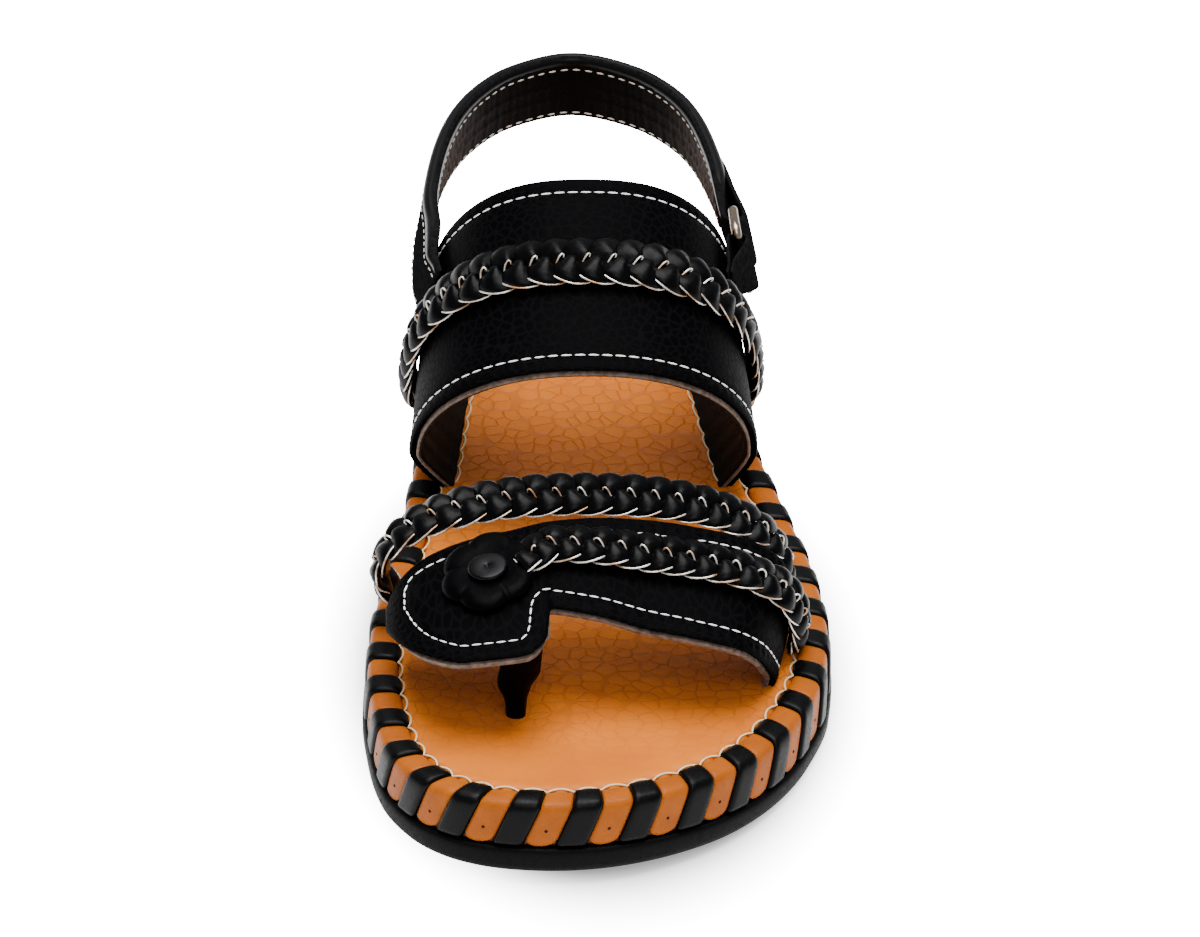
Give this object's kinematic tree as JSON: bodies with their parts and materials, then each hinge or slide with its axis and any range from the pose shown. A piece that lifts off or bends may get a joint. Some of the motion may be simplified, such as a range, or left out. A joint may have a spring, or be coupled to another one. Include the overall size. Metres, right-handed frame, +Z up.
{
  "type": "sandal",
  "caption": "Left leather sandal with a strip-wrapped flat sole, toe post strap with rosette, braided ball strap, wide instep band and ringed heel strap.",
  "frame": {"origin": "on the floor, under the middle of the sole's box", "axes": "+Z up, +Y from toe to heel, -X towards the big toe"},
  "size_m": [0.1115, 0.2855, 0.088],
  "materials": {
    "outsole": "satin moulded rubber",
    "wrapped_midsole": "smooth tan and black strips",
    "insole": "embossed tan",
    "instep_band": "embossed black",
    "instep_braid": "plaited black with metallic piping",
    "ball_braid": "plaited black with metallic piping",
    "toe_strap": "embossed black",
    "toe_braid": "plaited black with metallic piping",
    "toe_post": "smooth black",
    "rosette": "smooth black",
    "rivet": "polished gunmetal",
    "heel_strap": "smooth black, grey-brown lining",
    "ring": "polished pale nickel",
    "ring_tab": "smooth black"
  },
  "bodies": {
    "root": {"outsole": "outsole", "wrapped_midsole": "wrapped_midsole", "insole": "insole", "instep_band": "instep_band", "instep_braid": "instep_braid", "ball_braid": "ball_braid", "toe_strap": "toe_strap", "toe_braid": "toe_braid", "toe_post": "toe_post", "rosette": "rosette", "rivet": "rivet", "heel_strap": "heel_strap", "ring": "ring", "ring_tab": "ring_tab"}
  },
  "joints": []
}
